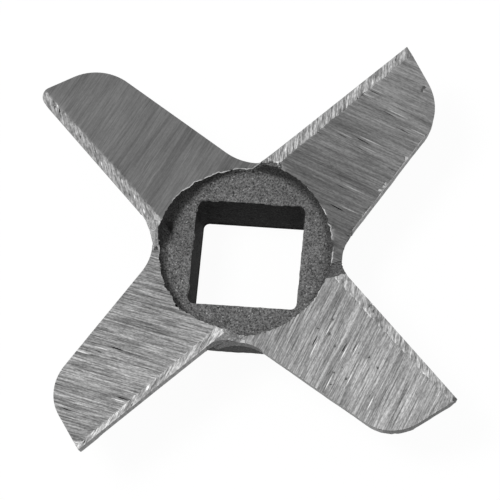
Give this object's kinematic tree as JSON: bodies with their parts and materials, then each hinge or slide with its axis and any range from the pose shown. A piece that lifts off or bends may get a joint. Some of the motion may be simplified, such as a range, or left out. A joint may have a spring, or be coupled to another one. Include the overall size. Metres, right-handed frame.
{
  "type": "meat grinder knife",
  "caption": "Cast steel meat grinder knife with swept arms, sloped faces with ground cutting lands, a round recess and a square hub bored with a square drive hole.",
  "frame": {"origin": "on the axis of the square drive hole, at the back face of the square boss, where the knife seats on the feed screw's shoulder", "axes": "+Z along the axis, from the boss towards the cutting plane; X and Y along the sides of the square drive hole"},
  "size_m": [0.0526, 0.0529, 0.0115],
  "materials": {
    "steel": "cast carbon steel, coarsely ground on the cutting side, dull and slightly worn"
  },
  "bodies": {
    "root": {"knife": "steel"}
  },
  "joints": []
}
